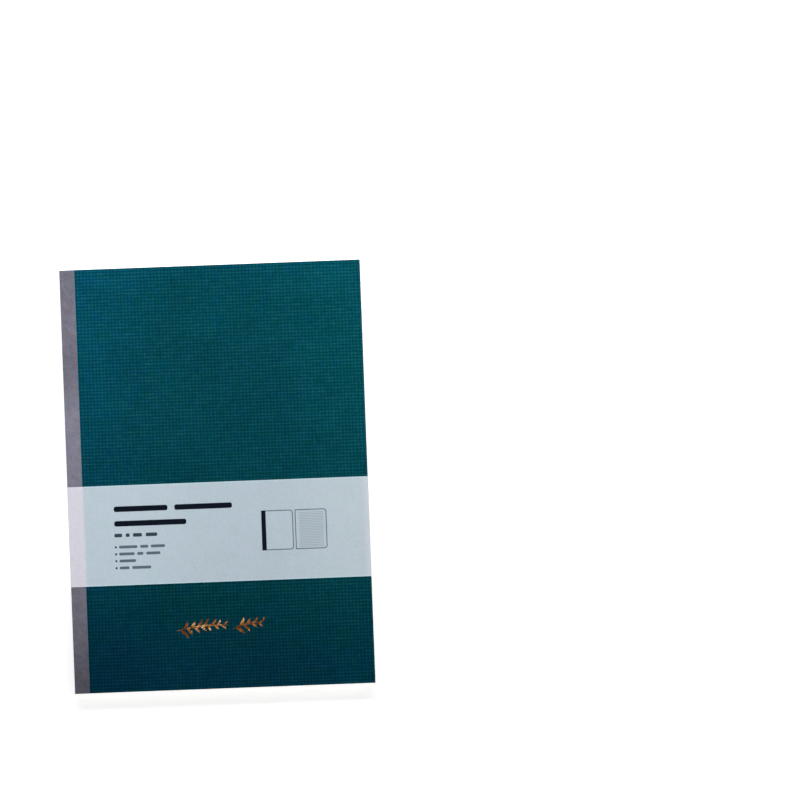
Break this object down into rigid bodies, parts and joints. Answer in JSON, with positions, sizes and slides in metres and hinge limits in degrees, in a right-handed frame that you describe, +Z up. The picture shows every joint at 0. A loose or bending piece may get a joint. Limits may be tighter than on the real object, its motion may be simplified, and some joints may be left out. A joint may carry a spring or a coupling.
{
  "type": "pad-bound ruled notebook with a belly band",
  "caption": "Slim closed notebook, pad-glued and taped along the left spine, with teal cloth-finish card covers and a translucent paper band round it.",
  "frame": {"origin": "centre of the underside of the closed book in its band, on the surface that it lies on", "axes": "+X from the spine to the fore edge, +Y from the tail to the head, +Z up out of the front cover"},
  "size_m": [0.1778, 0.25, 0.0116],
  "materials": {
    "pages": "uncoated white writing paper, trimmed edges",
    "cover_card": "teal card printed with a fine woven check, matt",
    "padding_glue": "dried flexible padding glue",
    "tape": "grey-mauve cloth-finish binding tape, matt",
    "band_paper": "translucent vellum paper, matt, printed",
    "seam_glue": "thin film of dried glue",
    "print_ink": "dark blue printing ink on the band",
    "foil": "copper-coloured stamped foil on the front cover"
  },
  "bodies": {
    "notebook": {"page_block": "pages", "front_cover": "cover_card", "back_cover": "cover_card", "binding_glue": "padding_glue", "spine_tape": "tape"},
    "band": {"belly_band": "band_paper", "seam_glue": "seam_glue"}
  },
  "joints": [
    {"name": "band_slide", "type": "slide", "parent": "notebook", "child": "band", "axis": [0, 1, 0], "range_m": [-0.127, 0.192]}
  ]
}
